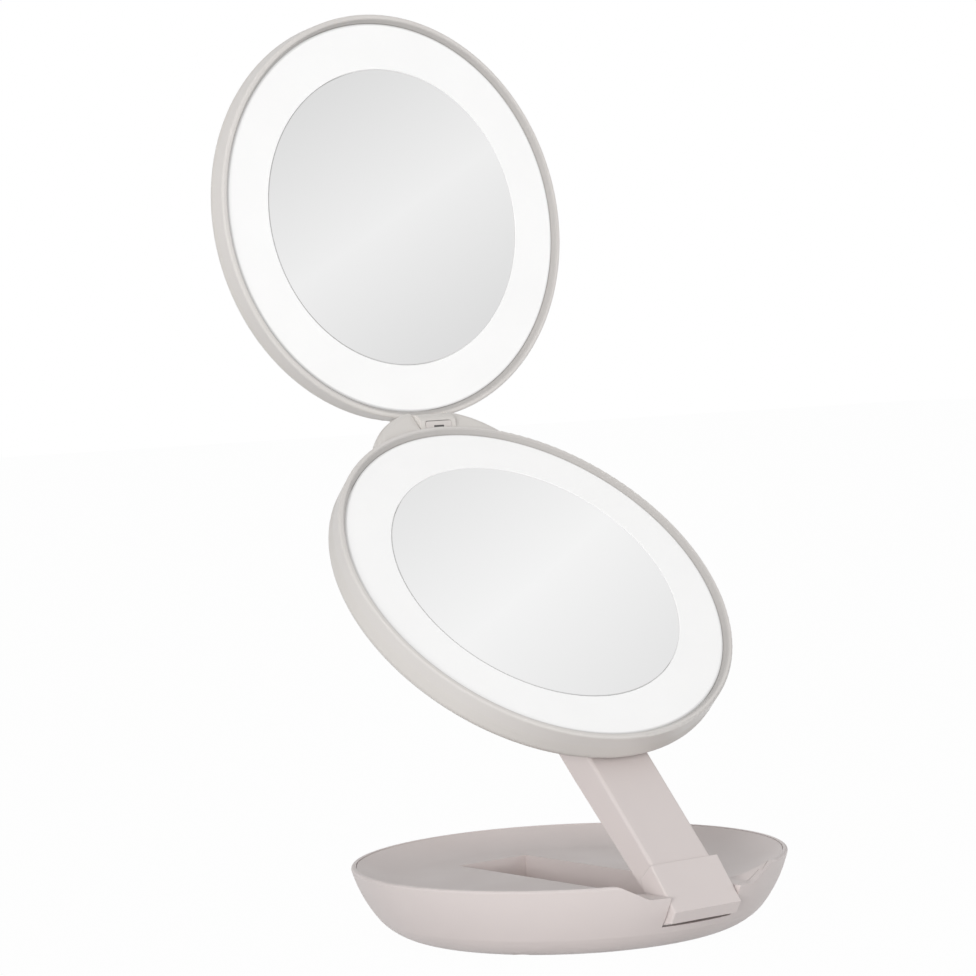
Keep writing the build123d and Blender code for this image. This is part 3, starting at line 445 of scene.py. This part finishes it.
def cover_section():
    """Half section of the back cover, and the heights of its inner and outer face.

    Its points are radius and height over the light guide's face, from the inner face outwards.
    """
    corner = HEAD_R - HEAD_BACK_ROUND
    heights = -HEAD_BACK - COVER_GAP, -HEAD_BACK - EXTRA_DEPTH
    turns = [0.5 * pi * step / ROUND_STEPS for step in range(ROUND_STEPS + 1)]
    inner, outer = ([(corner + HEAD_BACK_ROUND * sin(turn),
                      height + HEAD_BACK_ROUND * (1 - cos(turn))) for turn in turns]
                    for height in heights)
    return inner + outer[::-1], heights


def turned_piece(name, section, ends, sides, place):
    """Closed solid of revolution from its half section and its two heights on the axis."""
    build = bmesh.new()
    turns = [2 * pi * side / sides for side in range(sides)]
    rings = [[build.verts.new(place @ Vector((radius * cos(turn), radius * sin(turn), height)))
              for turn in turns] for radius, height in section]
    first_end, last_end = (build.verts.new(place @ Vector((0, 0, height))) for height in ends)
    for side in range(sides):
        after = (side + 1) % sides
        for low, high in zip(rings, rings[1:]):
            build.faces.new((low[side], low[after], high[after], high[side]))
        build.faces.new((first_end, rings[0][after], rings[0][side]))
        build.faces.new((last_end, rings[-1][side], rings[-1][after]))
    bmesh.ops.recalc_face_normals(build, faces=build.faces)
    mesh = bpy.data.meshes.new(name)
    build.to_mesh(mesh)
    build.free()
    return new_object(name, mesh)


def cut_away(piece, cutter):
    """Gives a piece the mesh that is left of it outside the cutter, and removes the cutter."""
    cut = piece.modifiers.new(cutter.name, "BOOLEAN")
    cut.operation = "DIFFERENCE"
    cut.solver = "EXACT"
    cut.object = cutter
    result = piece.evaluated_get(bpy.context.evaluated_depsgraph_get())
    shape = bpy.data.meshes.new_from_object(result)
    piece.modifiers.clear()
    piece.data = shape
    bpy.data.objects.remove(cutter)


def add_back_cover(material):
    """Deeper back of the lower head, with a round opening for the arm's raised pad."""
    across, up, out = face_directions("lower")
    turn = turned_to(across, up, out)
    place = Matrix.Translation(middle_of("lower_light_guide") + out * (GUIDE_THICK / 2)) @ turn
    section, (inside, outside) = cover_section()
    cover = turned_piece("lower_back_cover", section, (inside, outside), COVER_SIDES, place)
    swivel = place.inverted() @ middle_of("swivel_washer")
    room = Matrix.Translation(place @ Vector((swivel.x, swivel.y, 0))) @ turn
    ends = outside - CUT_MARGIN, inside + CUT_MARGIN
    cutter = turned_piece("pad_room", [(PAD_ROOM, end) for end in ends], ends, PAD_ROOM_SIDES, room)
    cut_away(cover, cutter)
    cover.data.shade_smooth()
    cover.data.set_sharp_from_angle(angle=SHARP_ANGLE)
    cover.data.materials.clear()
    cover.data.materials.append(material)
    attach(cover, "lower_head")


def plain_shader(tree, kind, colour, strength):
    shader = tree.nodes.new(kind)
    shader.inputs["Color"].default_value = (*colour, 1)
    shader.inputs["Strength"].default_value = strength
    return shader.outputs[0]


def white_for_eye(tree, surface, shader, white, share):
    """Adds the plain white that the eye and the mirrors see, and keeps the shader's shadows."""
    path = tree.nodes.new("ShaderNodeLightPath").outputs
    seen = calculate(tree, "MAXIMUM", path["Is Camera Ray"], path["Is Glossy Ray"])
    seen = calculate(tree, "MAXIMUM", seen, path["Is Transmission Ray"])
    mix = tree.nodes.new("ShaderNodeMixShader")
    tree.links.new(calculate(tree, "MULTIPLY", seen, share), mix.inputs["Fac"])
    tree.links.new(shader, mix.inputs[1])
    tree.links.new(white, mix.inputs[2])
    tree.links.new(mix.outputs["Shader"], surface)


def add_floor():
    mesh = bpy.data.meshes.new("floor")
    corners = [(-1, -1), (1, -1), (1, 1), (-1, 1)]
    mesh.from_pydata([(x * FLOOR_HALF, y * FLOOR_HALF, 0) for x, y in corners], [], [(0, 1, 2, 3)])
    floor = new_object("floor", mesh)
    material = bpy.data.materials.new("floor_paper")
    tree = empty_tree(material)
    output = tree.nodes.new("ShaderNodeOutputMaterial")
    paper = tree.nodes.new("ShaderNodeBsdfDiffuse")
    paper.inputs["Color"].default_value = (*PAPER, 1)
    white = plain_shader(tree, "ShaderNodeEmission", WHITE, 1.0)
    white_for_eye(tree, output.inputs["Surface"], paper.outputs["BSDF"], white, FLOOR_WHITE)
    mesh.materials.append(material)


def add_world():
    world = bpy.data.worlds.new("studio")
    bpy.context.scene.world = world
    tree = empty_tree(world)
    output = tree.nodes.new("ShaderNodeOutputWorld")
    soft = plain_shader(tree, "ShaderNodeBackground", WHITE, WORLD_STRENGTH)
    white = plain_shader(tree, "ShaderNodeBackground", WHITE, 1.0)
    white_for_eye(tree, output.inputs["Surface"], soft, white, 1.0)


def add_lamp(name, place, size, power):
    data = bpy.data.lights.new(name, "AREA")
    data.shape = "DISK"
    data.size = size
    data.energy = power
    light = new_object(name, data)
    light.location = place
    light.rotation_euler = (LAMP_AIM - Vector(place)).to_track_quat("-Z", "Y").to_euler()
    light.visible_glossy = False


add_camera()
dress_all()
add_floor()
add_world()
for lamp_name, settings in LAMPS.items():
    add_lamp(lamp_name, *settings)

scene = bpy.context.scene
scene.view_settings.view_transform = "Standard"
